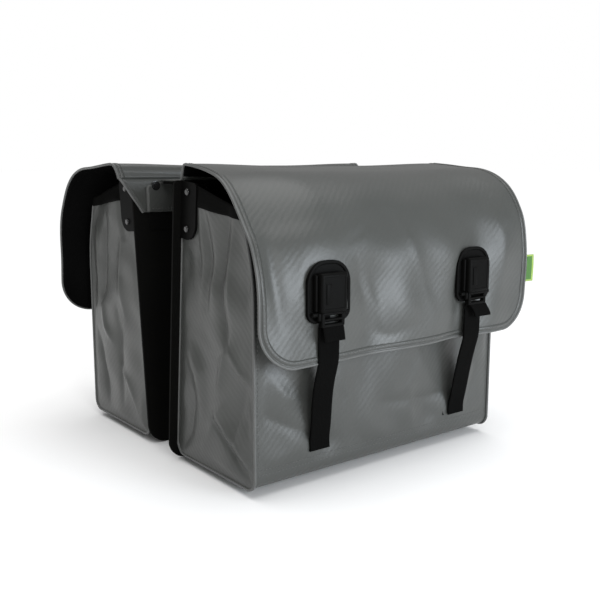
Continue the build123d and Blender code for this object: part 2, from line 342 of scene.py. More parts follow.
@dataclass(frozen=True)
class TagCloth(Finish):
    """A woven label: a plain field inside a lighter border."""

    half_width: float = 0.008
    half_height: float = 0.0175
    border: float = 0.0022
    border_share: float = 0.85
    thread_scale: float = 900.0
    thread_share: float = 0.25

    def colour_share(self, sheet: NodeSheet, place: bpy.types.Node) -> bpy.types.NodeSocket:
        """Returns 1 in the border and near 0 in the field."""
        parts = sheet.add("ShaderNodeSeparateXYZ")
        sheet.link(place.outputs["UV"], parts.inputs[0])
        across = sheet.maths("ABSOLUTE", parts.outputs["X"], 0.0)
        along = sheet.maths("ABSOLUTE", parts.outputs["Y"], 0.0)
        sides = sheet.maths("GREATER_THAN", across, self.half_width - self.border)
        ends = sheet.maths("GREATER_THAN", along, self.half_height - self.border)
        frame = sheet.maths("MAXIMUM", sides, ends)
        noise = sheet.noise(place.outputs["Object"], self.thread_scale)
        threads = sheet.maths("MULTIPLY", noise, self.thread_share)
        return sheet.maths("MAXIMUM", sheet.maths("MULTIPLY", frame, self.border_share), threads)


TARPAULIN = Tarpaulin(
    "grey_tarpaulin",
    (0.055, 0.0575, 0.054),
    (0.046, 0.0485, 0.0455),
    roughness=0.36,
    specular=0.5,
    height=0.00007,
)
LINING = Tarpaulin(
    "black_lining",
    (0.0045, 0.0045, 0.0045),
    (0.003, 0.003, 0.003),
    roughness=0.6,
    specular=0.015,
    height=0.00006,
)
PIPING = Finish("grey_piping", (0.1, 0.103, 0.1), (0.07, 0.072, 0.07), roughness=0.35, patch=60.0)
THREAD = Finish("grey_thread", (0.12, 0.123, 0.12), (0.08, 0.082, 0.08), roughness=0.7, patch=300.0)
BOARD = Finish(
    "black_board",
    (0.0065, 0.0065, 0.006),
    (0.004, 0.004, 0.0038),
    roughness=0.5,
    specular=0.015,
    grain=700.0,
    height=0.00008,
)
BAND = Finish("black_band", (0.0045, 0.0045, 0.0043), (0.003, 0.003, 0.0028), roughness=0.6, specular=0.015)
MOULDED = Finish(
    "black_plastic", (0.0045, 0.0045, 0.0043), (0.003, 0.003, 0.0029), roughness=0.4, specular=0.03,
    grain=2200.0, height=0.00002,
)
WEBBING = Webbing(
    "black_webbing", (0.0038, 0.0038, 0.0037), (0.0024, 0.0024, 0.0023), roughness=0.7, specular=0.015,
    height=0.00018,
)
SCREW = Finish(
    "black_steel", (0.012, 0.012, 0.012), (0.007, 0.007, 0.007), roughness=0.14, specular=0.7, height=0.00001
)
TAG = TagCloth("green_label", (0.3, 0.42, 0.1), (0.03, 0.12, 0.03), roughness=0.6, specular=0.2)
FLOOR = Finish("pale_floor", (0.95, 0.95, 0.95), (0.93, 0.93, 0.93), roughness=0.9, specular=0.0, patch=0.6)


# ---------------------------------------------------------------- making and placing pieces


def settle(
    piece: bpy.types.Object,
    finish: Finish,
    body: str | None = None,
    replaces: Sequence[str] = (),
) -> bpy.types.Object:
    """Gives a piece its finish, its place on a body and the CAD nodes that it stands for.

    Args:
        piece: The finished piece.
        finish: What it is covered with.
        body: The CAD body it rides on, or None if it is blended.
        replaces: CAD nodes that it stands for.

    Returns:
        The piece.
    """
    if not piece.data.materials:
        piece.data.materials.append(finish.material())
    if body:
        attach(piece, body)
    if replaces:
        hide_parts(*replaces)
    LOG.info("piece %s: %d vertices, %s", piece.name, len(piece.data.vertices), finish.name)
    return piece


def object_from(name: str, bm: bmesh.types.BMesh, sharp: float | None = None) -> bpy.types.Object:
    """Turns a bmesh into an object at the origin.

    Args:
        name: The piece's name.
        bm: Its shape, freed here.
        sharp: The angle past which an edge stays sharp, or None to smooth them all.

    Returns:
        The new object.
    """
    mesh = bpy.data.meshes.new(name)
    bm.to_mesh(mesh)
    bm.free()
    mesh.shade_smooth()
    if sharp is not None:
        mesh.set_sharp_from_angle(angle=sharp)
    piece = bpy.data.objects.new(name, mesh)
    bpy.context.scene.collection.objects.link(piece)
    return piece


def thicken(
    piece: bpy.types.Object, thickness: float, offset: float = -1.0, inside: Finish | None = None
) -> None:
    """Gives a sheet its thickness.

    Args:
        piece: The sheet.
        thickness: In metres.
        offset: -1 to grow away from its face, 0 to grow both ways.
        inside: The finish of its back, if that is another.
    """
    solid = piece.modifiers.new("thickness", "SOLIDIFY")
    solid.thickness = thickness
    solid.offset = offset
    solid.use_even_offset = False
    if inside:
        piece.data.materials.append(inside.material())
        solid.material_offset = 1


def smooth(value: np.ndarray | float) -> np.ndarray:
    """An even step from 0 to 1 as value goes from 0 to 1."""
    held = np.clip(value, 0.0, 1.0)
    return held * held * (3.0 - 2.0 * held)


def hump(value: np.ndarray, middle: float, spread: float) -> np.ndarray:
    """A rounded rise to 1 at middle."""
    return np.exp(-(((value - middle) / spread) ** 2))


def tube(name: str, points: np.ndarray, radius: float) -> bpy.types.Object:
    """A round cord along points, closed at both ends.

    Args:
        name: The piece's name.
        points: The line it follows.
        radius: Its radius.

    Returns:
        The cord as a mesh.
    """
    curve = bpy.data.curves.new(name + "_line", "CURVE")
    curve.dimensions = "3D"
    curve.bevel_depth = radius
    curve.bevel_resolution = 2
    curve.use_fill_caps = True
    spline = curve.splines.new("POLY")
    spline.points.add(len(points) - 1)
    spline.points.foreach_set("co", np.column_stack((points, np.ones(len(points)))).ravel())
    carrier = bpy.data.objects.new(name + "_line", curve)
    bpy.context.scene.collection.objects.link(carrier)
    mesh = bpy.data.meshes.new_from_object(carrier.evaluated_get(bpy.context.evaluated_depsgraph_get()))
    bpy.data.objects.remove(carrier)
    mesh.name = name
    mesh.materials.clear()
    mesh.shade_smooth()
    piece = bpy.data.objects.new(name, mesh)
    bpy.context.scene.collection.objects.link(piece)
    return piece


def stitches(name: str, runs: Sequence[np.ndarray], thread: float = 0.45 * MM) -> bpy.types.Object:
    """Rows of stitches, one between each point of a run and the next.

    Args:
        name: The piece's name.
        runs: The rows, each as points one stitch apart.
        thread: The thread's radius.

    Returns:
        The stitches as one mesh.
    """
    whole = bmesh.new()
    for run in runs:
        for first, second in zip(run[:-1], run[1:]):
            start, end = Vector(first), Vector(second)
            step = end - start
            turn = step.to_track_quat("X", "Z").to_matrix().to_4x4()
            size = Matrix.Diagonal((step.length * 0.34, thread, thread, 1.0))
            place = Matrix.Translation((start + end) / 2) @ turn @ size
            bmesh.ops.create_icosphere(whole, subdivisions=1, radius=1.0, matrix=place)
    return object_from(name, whole)


def evenly(points: np.ndarray, pitch: float) -> np.ndarray:
    """Points one pitch apart along a line of points.

    Args:
        points: The line.
        pitch: The spacing wanted.

    Returns:
        The new points, from the line's start to its end.
    """
    steps = np.linalg.norm(np.diff(points, axis=0), axis=1)
    run = np.concatenate(([0.0], np.cumsum(steps)))
    wanted = np.linspace(0.0, run[-1], max(2, int(round(run[-1] / pitch)) + 1))
    return np.column_stack([np.interp(wanted, run, points[:, i]) for i in range(points.shape[1])])


def rectangle(half_width: float | Callable[[np.ndarray], np.ndarray], length: float) -> Region:
    """The region of a plain sheet.

    Args:
        half_width: Half its width, or a function that gives it for distances down the sheet.
        length: How long it is.

    Returns:
        A function from shares across and down it to flat coordinates.
    """

    def region(across: np.ndarray, share: np.ndarray) -> tuple[np.ndarray, np.ndarray]:
        """Flat coordinates over the sheet."""
        down = share * length
        return (2 * across - 1) * (half_width(down) if callable(half_width) else half_width), down

    return region


# ---------------------------------------------------------------- cloth surfaces


@dataclass(frozen=True)
class Crease:
    """A fold in a sheet: a line of points, raised if its height is positive."""

    line: tuple[Corner, ...]
    height: float
    width: float
    sharp: bool = True

    def relief(self, along: np.ndarray, down: np.ndarray) -> np.ndarray:
        """How far the fold lifts each point.

        Args:
            along: First coordinates, in millimetres.
            down: Second coordinates, in millimetres.

        Returns:
            The lift, in metres.
        """
        best = np.full(along.shape, 1e9)
        where = np.zeros(along.shape)
        pieces = len(self.line) - 1
        for index, (start, end) in enumerate(zip(self.line[:-1], self.line[1:])):
            run = (end[0] - start[0], end[1] - start[1])
            length = run[0] ** 2 + run[1] ** 2
            share = np.clip(((along - start[0]) * run[0] + (down - start[1]) * run[1]) / length, 0.0, 1.0)
            away = np.hypot(along - start[0] - share * run[0], down - start[1] - share * run[1])
            nearer = away < best
            best = np.where(nearer, away, best)
            where = np.where(nearer, (index + share) / pieces, where)
        taper = np.sin(np.pi * np.clip(0.06 + 0.88 * where, 0.0, 1.0)) ** 0.7
        ratio = best / self.width
        shape = np.exp(-np.sqrt(ratio * ratio + 0.02) * 1.3) if self.sharp else np.exp(-ratio * ratio)
        return self.height * CREASE_DEPTH * taper * shape


class Undulation:
    """Slow waves over a sheet, the same for the same seed."""

    def __init__(self, seed: int, height: float, shortest: float = 60.0, longest: float = 220.0) -> None:
        """Draws the waves.

        Args:
            seed: Which set of waves.
            height: Their height together, in millimetres.
            shortest: The shortest wave, in millimetres.
            longest: The longest wave, in millimetres.
        """
        draw = random.Random(seed)
        self.waves = []
        for _ in range(WAVE_COUNT):
            turn = draw.uniform(0.0, math.pi)
            length = draw.uniform(shortest, longest)
            share = height * MM / WAVE_COUNT * 2 * length / longest
            rate = 2 * math.pi / length
            phase = draw.uniform(0.0, 6.28)
            self.waves.append((rate * math.cos(turn), rate * math.sin(turn), phase, share))

    def relief(self, along: np.ndarray, down: np.ndarray) -> np.ndarray:
        """The lift at points given in millimetres, in metres."""
        return sum(share * np.sin(a * along + b * down + phase) for a, b, phase, share in self.waves)


class Profile:
    """A bent line of reach and height, rounded at its corners."""

    def __init__(self, corners: Sequence[Corner], radii: Sequence[float]) -> None:
        """Rounds the corners and measures the line.

        Args:
            corners: Points in millimetres.
            radii: The radius at each corner but the first and last.
        """
        points = [np.array(corners[0], float)]
        for index, radius in enumerate(radii, start=1):
            points += self._arc(corners[index - 1], corners[index], corners[index + 1], radius)
        points.append(np.array(corners[-1], float))
        self.points = evenly(np.array(points) * MM, 1.5 * MM)
        steps = np.linalg.norm(np.diff(self.points, axis=0), axis=1)
        self.run = np.concatenate(([0.0], np.cumsum(steps)))
        self.length = float(self.run[-1])
        ahead = np.gradient(self.points, self.run, axis=0)
        normals = np.column_stack((-ahead[:, 1], ahead[:, 0]))
        self.normals = normals / np.linalg.norm(normals, axis=1)[:, None]

    @staticmethod
    def _arc(before: Corner, corner: Corner, after: Corner, radius: float) -> list[np.ndarray]:
        """Points on the arc that rounds a corner.

        Args:
            before: The corner before it.
            corner: The corner itself.
            after: The corner after it.
            radius: The arc's radius.

        Returns:
            Points from one tangent point to the other.
        """
        middle = Vector(corner)
        inward = (middle - Vector(before)).normalized()
        outward = (Vector(after) - middle).normalized()
        turn = inward.angle_signed(outward)
        reach = abs(radius * math.tan(turn / 2))
        start, end = middle - inward * reach, middle + outward * reach
        found = []
        for share in np.linspace(0.0, 1.0, 17):
            weight = 1.0 / math.cos(turn / 2)
            a, b, c = (1 - share) ** 2, 2 * share * (1 - share) / weight, share**2
            point = (start * a + middle * b + end * c) / (a + b + c)
            found.append(np.array(point))
        return found

    def at(self, distance: np.ndarray) -> tuple[np.ndarray, np.ndarray]:
        """Points and normals, to the left of travel, at distances along the line."""
        held = np.clip(distance, 0.0, self.length)
        point = np.column_stack([np.interp(held, self.run, self.points[:, i]) for i in (0, 1)])
        normal = np.column_stack([np.interp(held, self.run, self.normals[:, i]) for i in (0, 1)])
        return point, normal / np.linalg.norm(normal, axis=1)[:, None]

    def down_to(self, height: float) -> float:
        """The distance at which the line, going down, first passes a height."""
        return float(self.run[np.argmax(self.points[:, 1] <= height)])


class Surface(ABC):
    """A sheet's surface, on which a point has two flat coordinates and a lift."""

    @abstractmethod
    def place(self, along: np.ndarray, down: np.ndarray, lift: float | np.ndarray = 0.0) -> np.ndarray:
        """Where points lie.

        Args:
            along: Their first coordinates.
            down: Their second coordinates.
            lift: How far out of the surface they are.

        Returns:
            Their places, one row each.
        """

    def patch(
        self, name: str, region: Region, columns: int, rows: int, lift: float = 0.0
    ) -> bpy.types.Object:
        """A sheet over part of the surface, facing out, with its flat coordinates as its UV map.

        Args:
            name: The piece's name.
            region: Gives the flat coordinates for shares from 0 to 1 across and down the sheet.
            columns: How many faces across.
            rows: How many faces down.
            lift: How far out of the surface it lies.

        Returns:
            The sheet, with no thickness yet.
        """
        bm = bmesh.new()
        bmesh.ops.create_grid(bm, x_segments=columns, y_segments=rows, size=1.0)
        bm.verts.index_update()
        flat = np.array([v.co for v in bm.verts])
        along, down = region((flat[:, 0] + 1) / 2, (1 - flat[:, 1]) / 2)
        for vertex, point in zip(bm.verts, self.place(along, down, lift)):
            vertex.co = point
        layer = bm.loops.layers.uv.new(CLOTH_UV)
        for face in bm.faces:
            for loop in face.loops:
                loop[layer].uv = (along[loop.vert.index], down[loop.vert.index])
        bm.normal_update()
        bm.faces.ensure_lookup_table()
        middle = bm.faces[len(bm.faces) // 2 + columns // 2]
        index = np.array([middle.verts[0].index])
        out = self.place(along[index], down[index], lift + MM) - self.place(along[index], down[index], lift)
        if middle.normal.dot(Vector(out[0])) < 0:
            bmesh.ops.reverse_faces(bm, faces=bm.faces)
        return object_from(name, bm)


class BentSheet(Surface):
    """Cloth bent along a profile, with folds in it."""

    def __init__(
        self,
        side: Side,
        profile: Profile,
        relief: Relief,
        centre: float = 0.0,
    ) -> None:
        """Keeps what the cloth follows.

        Args:
            side: The bag it is on.
            profile: Its cross-section.
            relief: Lift for points along and down the sheet.
            centre: Where its middle is along the bicycle.
        """
        self.side, self.profile, self.relief, self.centre = side, profile, relief, centre

    def place(self, along: np.ndarray, down: np.ndarray, lift: float | np.ndarray = 0.0) -> np.ndarray:
        """Where points lie: along the bicycle, and down the profile."""
        point, normal = self.profile.at(down)
        point = point + normal * (self.relief(along, down) + lift)[:, None]
        return np.column_stack((self.centre + along, self.side.value * point[:, 0], point[:, 1]))

    def row(self, along: np.ndarray, down: float, lift: float) -> np.ndarray:
        """A line of points straight across the sheet."""
        return self.place(along, np.full(len(along), down), lift)


class EndSheet(Surface):
    """The end panel of a bag: flat coordinates are reach and height."""

    bend = 14 * MM  # radius of its lower corners
    turn = 0.88  # share of its rows that lie above them
    band_low = -21.0  # the stiff band's lower edge at the inner wall, in millimetres
    band_drop = 12.0  # how much lower that is at the outer wall, in millimetres
    bracket_width = 30 * MM
    bracket_foot = -78 * MM  # the cloth is held flat above this, under the bracket
    belly = 2.5 * MM

    def __init__(
        self, side: Side, end: End, wrap: Profile, half_length: float, creases: Sequence[Crease]
    ) -> None:
        """Finds the panel's outline from the wrap's profile.

        Args:
            side: The bag it is on.
            end: Which end of the bag.
            wrap: The bag's outer wall, bottom and inner wall, in that order.
            half_length: From the bag's middle to the panel.
            creases: Its folds, by reach and height in millimetres.
        """
        self.side, self.end, self.half_length, self.creases = side, end, half_length, creases
        lowest = int(np.argmin(wrap.points[:, 1]))
        flat = np.flatnonzero(wrap.points[:, 1] < wrap.points[lowest, 1] + 0.05 * MM)
        self.outer = wrap.points[: flat[0] + 1][::-1]
        self.inner = wrap.points[flat[-1] :]
        self.floor = float(wrap.points[lowest, 1])
        self.top_outer, self.top_inner = float(self.outer[-1, 1]), float(self.inner[-1, 1])
        self.waves = Undulation(11 + 3 * side.value + end.value, 4.5, 40.0, 150.0)

    def edges(self, height: np.ndarray) -> tuple[np.ndarray, np.ndarray]:
        """The panel's inner and outer reach at a height."""
        inner = np.interp(height, self.inner[:, 1], self.inner[:, 0])
        return inner, np.interp(height, self.outer[:, 1], self.outer[:, 0])

    def region(self, across: np.ndarray, share: np.ndarray) -> tuple[np.ndarray, np.ndarray]:
        """Reach and height over the whole panel, its rows closer in the round corners."""
        top = self.top_inner + (self.top_outer - self.top_inner) * across
        straight = top + (self.floor + self.bend - top) * np.clip(share / self.turn, 0.0, 1.0)
        corner = np.clip((share - self.turn) / (1 - self.turn), 0.0, 1.0) * math.pi / 2
        height = straight - self.bend * np.sin(corner)
        inner, outer = self.edges(height)
        return inner + (outer - inner) * across, height

    def band_region(self, across: np.ndarray, share: np.ndarray) -> tuple[np.ndarray, np.ndarray]:
        """Reach and height over the stiff band along the panel's top."""
        top = self.top_inner + (self.top_outer - self.top_inner) * across
        low = (self.band_low - self.band_drop * across) * MM
        height = top + (low - top) * share
        inner, outer = self.edges(height)
        start = inner + self.bracket_width
        return start + (outer - start) * across, height

    def place(self, along: np.ndarray, down: np.ndarray, lift: float | np.ndarray = 0.0) -> np.ndarray:
        """Where points lie: out from the middle plane, and up."""
        inner, outer = self.edges(down)
        edge = np.minimum(np.minimum(along - inner, outer - along), down - self.floor)
        held = smooth(edge / (16 * MM)) * smooth((self.top_inner - down) / (30 * MM))
        beside = smooth((along - inner - self.bracket_width) / (14 * MM))
        held *= 1 - (1 - beside) * smooth((down - self.bracket_foot) / (12 * MM))
        reach, height = along / MM, down / MM
        folds = sum(crease.relief(reach, height) for crease in self.creases)
        bulge = self.belly * np.sin(np.pi * np.clip((outer - along) / (outer - inner), 0.0, 1.0))
        lifted = held * (folds + bulge + self.waves.relief(reach, height)) + lift
        return np.column_stack((self.end.value * (self.half_length + lifted), self.side.value * along, down))


# Folds of the near left and far right end panels (A) and of the other two (B), by reach and height,
# then of the lids and the outer walls, by place along the bag and height. All in millimetres.
END_CREASES_A = (
    Crease(((112, -28), (117, -78), (113, -128)), -4.6, 9.0, False),
    Crease(((89, -20), (92, -60), (99, -105)), -3.5, 8.0),
    Crease(((159, -28), (147, -66), (141, -104), (146, -138), (156, -172)), -5.7, 8.0),
    Crease(((168, -40), (158, -90), (162, -130)), 3.5, 9.0),
    Crease(((156, -172), (180, -196), (197, -206)), 3.2, 7.0),
    Crease(((156, -174), (146, -200), (135, -228)), 4.1, 9.0),
    Crease(((196, -50), (194, -82), (195, -112)), -3.2, 5.0),
    Crease(((120, -258), (150, -280), (195, -315)), -4.6, 7.0),
    Crease(((136, -256), (166, -278), (198, -298)), 3.5, 8.0),
    Crease(((100, -300), (128, -262), (150, -236)), 3.0, 12.0),
    Crease(((48, -318), (72, -290), (84, -240)), -2.7, 10.0),
    Crease(((70, -180), (92, -214), (98, -262)), 3.0, 12.0, False),
    Crease(((186, -214), (168, -256), (166, -300)), -2.7, 9.0),
)
END_CREASES_B = (
    Crease(((204, -46), (198, -104), (193, -166)), -4.3, 8.0, False),
    Crease(((140, -42), (150, -98), (164, -162)), -4.3, 8.0),
    Crease(((164, -162), (150, -196), (136, -214)), 3.8, 9.0),
    Crease(((114, -168), (118, -230), (109, -293)), -4.1, 8.0),
    Crease(((181, -206), (170, -256), (157, -304)), -4.1, 7.0),
    Crease(((96, -60), (104, -120), (94, -178)), 3.2, 11.0),
    Crease(((62, -300), (90, -262), (120, -246)), 3.0, 9.0),
    Crease(((176, -60), (170, -110), (178, -150)), 3.0, 10.0),
)
LID_CREASES = (
    Crease(((-33, -20), (-62, -44), (-91, -58)), -1.4, 7.0),
    Crease(((-81, -79), (-76, -102), (-69, -124)), -1.5, 8.0),
    Crease(((-69, -89), (-56, -126), (-38, -160)), 1.4, 9.0),
    Crease(((84, -101), (83, -134), (78, -166)), -1.4, 7.0),
    Crease(((100, -120), (96, -150), (90, -178)), 1.1, 7.0),
    Crease(((-11, -15), (14, -90), (43, -172)), 1.3, 16.0),
    Crease(((-189, -39), (-191, -90), (-186, -141)), -2.1, 9.0, False),
    Crease(((-150, -60), (-164, -110), (-150, -168)), 1.4, 14.0),
    Crease(((150, -20), (166, -70), (160, -130)), 1.2, 14.0),
    Crease(((-70, -160), (-30, -168), (20, -158)), -1.1, 10.0),
)
WALL_CREASES = (
    Crease(((-8, -258), (70, -266), (155, -262)), -2.4, 9.0),
    Crease(((-180, -242), (-132, -268), (-85, -288)), -2.7, 8.0),
    Crease(((-80, -200), (-60, -240), (-66, -290)), 2.4, 13.0),
    Crease(((60, -204), (36, -246), (46, -296)), 2.2, 14.0),
    Crease(((140, -204), (160, -240), (150, -290)), -2.2, 12.0),
    Crease(((-170, -200), (-150, -226), (-120, -240)), 2.2, 12.0),
)


def plane_relief(
    creases: Sequence[Crease],
    waves: Undulation,
    height_of: Callable[[np.ndarray], np.ndarray],
    flip: int,
) -> Relief:
    """Makes the folds of a hanging face.

    Args:
        creases: Folds by millimetres along the bag and height.
        waves: The slow waves over the sheet.
        height_of: Gives the height in metres for a distance down the sheet.
        flip: 1, or -1 to mirror the folds.

    Returns:
        A function from flat coordinates in metres to lift.
    """

    def relief(along: np.ndarray, down: np.ndarray) -> np.ndarray:
        """The lift of points on the face."""
        x, z = flip * along / MM, height_of(down) / MM
        return sum(crease.relief(x, z) for crease in creases) + waves.relief(x, z)

    return relief


@dataclass
class BagPart:
    """A sub-assembly of one bag."""

    side: Side

    def name(self, part: str) -> str:
        """A piece's full name."""
        return f"{self.side.word}_{part}"

    @property
    def flip(self) -> int:
        """1 on the near bag and -1 on the far one, whose folds are mirrored."""
        return 1 if self.side is Side.NEAR else -1


@dataclass
class BagBody(BagPart):
    """One bag's cloth: the wrap, its two ends, their seams and the band round the opening."""

    half_length: float
    outer: float
    floor: float
    rim: float
    gap_top: float
    lean: float
    cloth: float = 1.6 * MM
    bulge: float = 5.5 * MM
    seam_radius: float = 1.7 * MM
    stitch: float = 4.5 * MM
    corner: float = 14 * MM
    wrap: BentSheet = field(init=False)
    profile: Profile = field(init=False)
    wall_length: float = field(init=False)

    def __post_init__(self) -> None:
        """Works out the wrap's cross-section and its folds."""
        bottom, reach = self.floor / MM, self.outer / MM
        inner = self.gap_top / 2 / MM + bottom * math.tan(self.lean)
        top_inner = self.gap_top / 2 / MM + self.rim / MM * math.tan(self.lean)
        self.profile = Profile(
            ((reach - 20, -21), (reach, -90), (reach, bottom), (inner, bottom), (top_inner, self.rim / MM)),
            (200, self.corner / MM, self.corner / MM),
        )
        self.wall_length = self.profile.down_to(self.floor + self.corner)
        top = float(self.profile.points[0, 1])
        waves = Undulation(5 + self.side.value, 5.0, 40.0, 160.0)
        folds = plane_relief(WALL_CREASES, waves, lambda down: top - down, self.flip)

        def relief(along: np.ndarray, down: np.ndarray) -> np.ndarray:
            """Bulge and folds of the outer wall, none at its edges or elsewhere on the wrap."""
            share = np.clip(down / self.wall_length, 0.0, 1.0)
            ends = smooth((self.half_length - np.abs(along)) / (18 * MM))
            body = self.bulge * np.sin(np.pi * share) * (1 - (along / self.half_length) ** 2)
            window = smooth(down / (30 * MM)) * smooth((self.wall_length - down) / (24 * MM))
            return body + ends * window * folds(along, down)

        self.wrap = BentSheet(self.side, self.profile, relief)

    def build(self) -> None:
        """Builds every piece of the bag's body."""
        body = self.name("bag")
        wrap = self.wrap.patch(
            self.name("bag_wrap"),
            rectangle(self.half_length, self.profile.length),
            100,
            220,
        )
        settle(wrap, TARPAULIN, body, [self.name("body_wrap")])
        thicken(wrap, self.cloth, inside=LINING)
        self.name("back_board")
        for end in End:
            self.build_end(end, body)
        self.build_seams(body)
        self.build_band(body)

    def end_sheet(self, end: End) -> EndSheet:
        """The surface of one end panel."""
        first = (self.side is Side.NEAR) == (end is End.LEFT)
        creases = END_CREASES_A if first else END_CREASES_B
        return EndSheet(self.side, end, self.profile, self.half_length, creases)

    def build_end(self, end: End, body: str) -> None:
        """Builds an end panel and the band across its top.

        Args:
            end: Which end.
            body: The CAD body it rides on.
        """
        surface = self.end_sheet(end)
        panel = surface.patch(self.name(f"bag_{end.word}_end"), surface.region, 66, 120)
        settle(panel, TARPAULIN, body, [self.name(f"{end.word}_gusset")])
        thicken(panel, self.cloth, inside=LINING)

    def build_seams(self, body: str) -> None:
        """Builds the piped seams, and the stitching beside them and along the hem."""
        start, stop = 12 * MM, self.profile.length - 30 * MM
        down = np.arange(start, stop, 3 * MM)
        cords = []
        for end in End:
            line = self.wrap.place(np.full(len(down), end.value * self.half_length), down, 0.6 * MM)
            cords.append(tube(self.name(f"bag_{end.word}_piping"), line, self.seam_radius))
        settle(cords[0], PIPING, body, [self.name("seam_piping")])
        settle(cords[1], PIPING, body)
        runs = []
        down = np.arange(30 * MM, self.wall_length, self.stitch)
        for end in End:
            beside = np.full(len(down), end.value * (self.half_length - 5 * MM))
            runs.append(self.wrap.place(beside, down, 0.1 * MM))
        along = np.arange(-self.half_length + 8 * MM, self.half_length - 8 * MM, self.stitch)
        for inset in (4 * MM, 10 * MM):
            runs.append(self.wrap.row(along, self.wall_length - inset, 0.1 * MM))
        settle(stitches(self.name("bag_stitching"), runs), THREAD, body)

    def build_band(self, body: str) -> None:
        """Builds the stiff band round the opening, in three runs."""
        front = self.wrap.patch(
            self.name("rim_band_front"),
            rectangle(self.half_length + 1.2 * MM, 13 * MM),
            60,
            4,
            1.1 * MM,
        )
        settle(front, BAND, body, [self.name("rim_band")])
        thicken(front, 1.0 * MM)
        for end in End:
            surface = self.end_sheet(end)
            band = surface.patch(self.name(f"rim_band_{end.word}"), surface.band_region, 30, 6, 1.2 * MM)
            settle(band, BAND, body)
            thicken(band, 1.1 * MM)


@dataclass
class Lid(BagPart):
    """One bag's lid: a sheet from the fold behind the rim, over the top and down the front."""

    half_width: float
    front: float
    lowest: float
    foot: tuple[float, float]
    centre: float
    corner: float = 45 * MM
    cloth: float = 2.0 * MM
    bead: float = 1.6 * MM
    hem: float = 5.5 * MM
    stitch: float = 4.4 * MM
    narrower: float = 8 * MM
    flared: float = 3 * MM
    inner_droop: float = -15 * MM
    outer_droop: float = 8 * MM
    sheet: BentSheet = field(init=False)
    profile: Profile = field(init=False)

    def __post_init__(self) -> None:
        """Works out the lid's cross-section, its droop and its folds."""
        reach, low = self.front / MM, self.lowest / MM
        foot = (self.foot[0] / MM, self.foot[1] / MM)
        self.profile = Profile(
            (foot, (foot[0] + 6, 26), (186, 14), (reach - 2, -62), (reach, low)),
            (7, 90, 110),
        )
        length, low_edge = self.profile.length, self.lowest
        waves = Undulation(21 + self.side.value, 5.5, 40.0, 170.0)
        folds = plane_relief(LID_CREASES, waves, lambda down: low_edge + length - down, self.flip)
        ridge = 24 * MM

        def relief(along: np.ndarray, down: np.ndarray) -> np.ndarray:
            """Droop at the ends, sag of the ridge and the folds of the front."""
            out = np.abs(along) / MM
            shoulder = hump(down, 0.165, 0.06)
            inner = along * self.side.value > 0
            droop = np.where(inner, self.inner_droop, self.outer_droop) * smooth((out - 110) / 95) * shoulder
            sag = -3.5 * MM * (1 - smooth((out - 60) / 130)) * hump(down, ridge + 10 * MM, 26 * MM)
            top = -2.0 * MM * hump(down, 0.1, 0.04) * np.cos(along * 12.0) ** 2
            shape = smooth((down - 0.03) / 0.03)
            hang = smooth((down - 0.14) / 0.08)
            ripple = 0.0006 * np.sin(along * 34 + down * 21)
            return droop + sag + shape * top + hang * folds(along, down) + shape * ripple

        self.sheet = BentSheet(self.side, self.profile, relief, self.centre)

    def flare(self, along: np.ndarray, down: np.ndarray) -> np.ndarray:
        """How much wider than usual the lid is at a point: narrow at the fold, at one end for longer."""
        inner = along * self.side.value > 0
        narrow = self.narrower * (1 - smooth(down / np.where(inner, 0.16, 0.04)))
        return 1 + (self.flared * smooth((down - 0.16) / 0.1) - narrow) / self.half_width

    def region(self, across: np.ndarray, share: np.ndarray) -> tuple[np.ndarray, np.ndarray]:
        """Flat coordinates over the lid, narrowing round its two lower corners."""
        turn = 0.86
        straight = (self.profile.length - self.corner) * np.clip(share / turn, 0.0, 1.0)
        angle = np.clip((share - turn) / (1 - turn), 0.0, 1.0) * math.pi / 2
        half = self.half_width - self.corner * (1 - np.cos(angle))
        down = straight + self.corner * np.sin(angle)
        along = (2 * across - 1) * half
        return along * self.flare(along, down), down

    def border(self, share: np.ndarray, inset: np.ndarray | float) -> tuple[np.ndarray, np.ndarray]:
        """Points along the lid's free edge.

        Args:
            share: From 0 at the fold's left end to 1 at its right end.
            inset: How far inside the edge.

        Returns:
            Their flat coordinates.
        """
        side = self.profile.length - self.corner
        arc = math.pi / 2 * self.corner
        across = 2 * (self.half_width - self.corner)
        total = 2 * (side + arc) + across
        mirrored = np.where(share > 0.5, 1 - share, share)
        run = mirrored * total
        angle = np.clip((run - side) / arc, 0.0, 1.0) * math.pi / 2
        radius = self.corner - inset
        along = -(self.half_width - self.corner) - radius * np.cos(angle)
        along = along + np.clip(run - side - arc, 0.0, None)
        down = np.minimum(run, side) + radius * np.sin(angle)
        along = np.where(share > 0.5, -along, along)
        return along * self.flare(along, down), down

    def edge_line(self, inset: float, lift: float, pitch: float) -> np.ndarray:
        """Points one pitch apart along the free edge, at an inset and a lift."""
        along, down = self.border(np.linspace(0.0, 1.0, 600), inset)
        return evenly(self.sheet.place(along, down, lift), pitch)

    def build(self) -> None:
        """Builds the lid's cloth, binding, piping and stitches."""
        body = self.name("flap")
        lid = self.sheet.patch(self.name("lid"), self.region, 118, 112)
        settle(lid, TARPAULIN, body, [self.name("flap")])
        thicken(lid, self.cloth, inside=LINING)
        self.name("bag_wrap")
        piping = tube(self.name("lid_piping"), self.edge_line(-0.4 * MM, -0.7 * MM, 4 * MM), self.bead)
        settle(piping, PIPING, body, [self.name("flap_piping")])
        binding = self.sheet.patch(
            self.name("lid_binding"),
            lambda s, t: self.border(s, 2.6 * MM + t * self.hem),
            330,
            2,
            0.45 * MM,
        )
        settle(binding, TARPAULIN, body)
        thicken(binding, 0.6 * MM)
        runs = [self.edge_line(5.4 * MM, 0.5 * MM, self.stitch)]
        settle(stitches(self.name("lid_stitching"), runs), THREAD, body)


